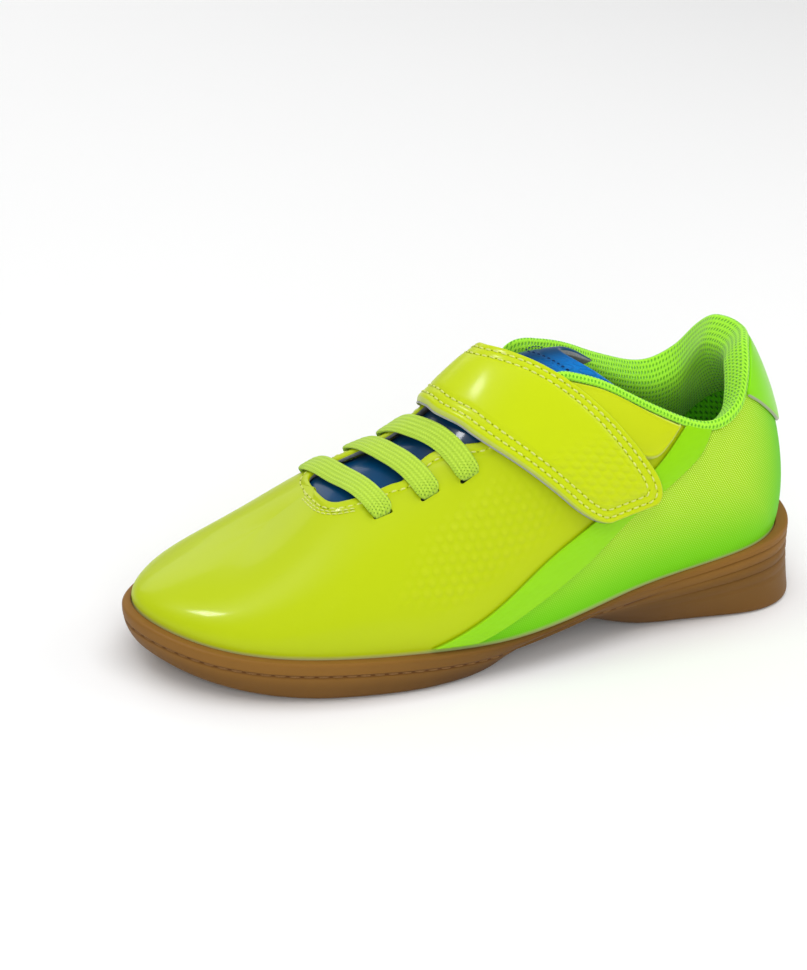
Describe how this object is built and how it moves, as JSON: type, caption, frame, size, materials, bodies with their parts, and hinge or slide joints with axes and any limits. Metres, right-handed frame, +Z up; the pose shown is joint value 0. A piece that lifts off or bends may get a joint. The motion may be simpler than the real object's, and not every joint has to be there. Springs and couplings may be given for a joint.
{
  "type": "indoor soccer shoe",
  "caption": "Child's left indoor soccer shoe with elastic laces, a wide closing strap, padded collar and gum rubber sole.",
  "frame": {"origin": "middle of the shoe's box, on the surface that it stands on", "axes": "-X points to the toe, -Y to the outer (lateral) side, +Z up"},
  "size_m": [0.2064, 0.0768, 0.0873],
  "materials": {
    "gum_rubber": "satin gum rubber",
    "lining_foam": "grey textile over foam",
    "lime_synthetic": "glossy coated synthetic leather",
    "green_knit": "open knit over foam",
    "navy_film": "glossy film on padded cloth",
    "lime_strap": "glossy coated synthetic leather",
    "lace_lime": "flat elastic rib knit",
    "green_synthetic": "glossy coated synthetic leather"
  },
  "bodies": {
    "root": {"outsole": "gum_rubber", "insole": "lining_foam", "upper": "lime_synthetic", "collar_pad": "green_knit", "tongue": "navy_film", "strap": "lime_strap", "lace_front": "lace_lime", "lace_middle": "lace_lime", "lace_back": "lace_lime", "heel_tab": "green_synthetic", "stripe_lateral": "green_synthetic", "stripe_medial": "green_synthetic", "panel_lateral": "lime_strap", "panel_medial": "lime_strap"}
  },
  "joints": []
}
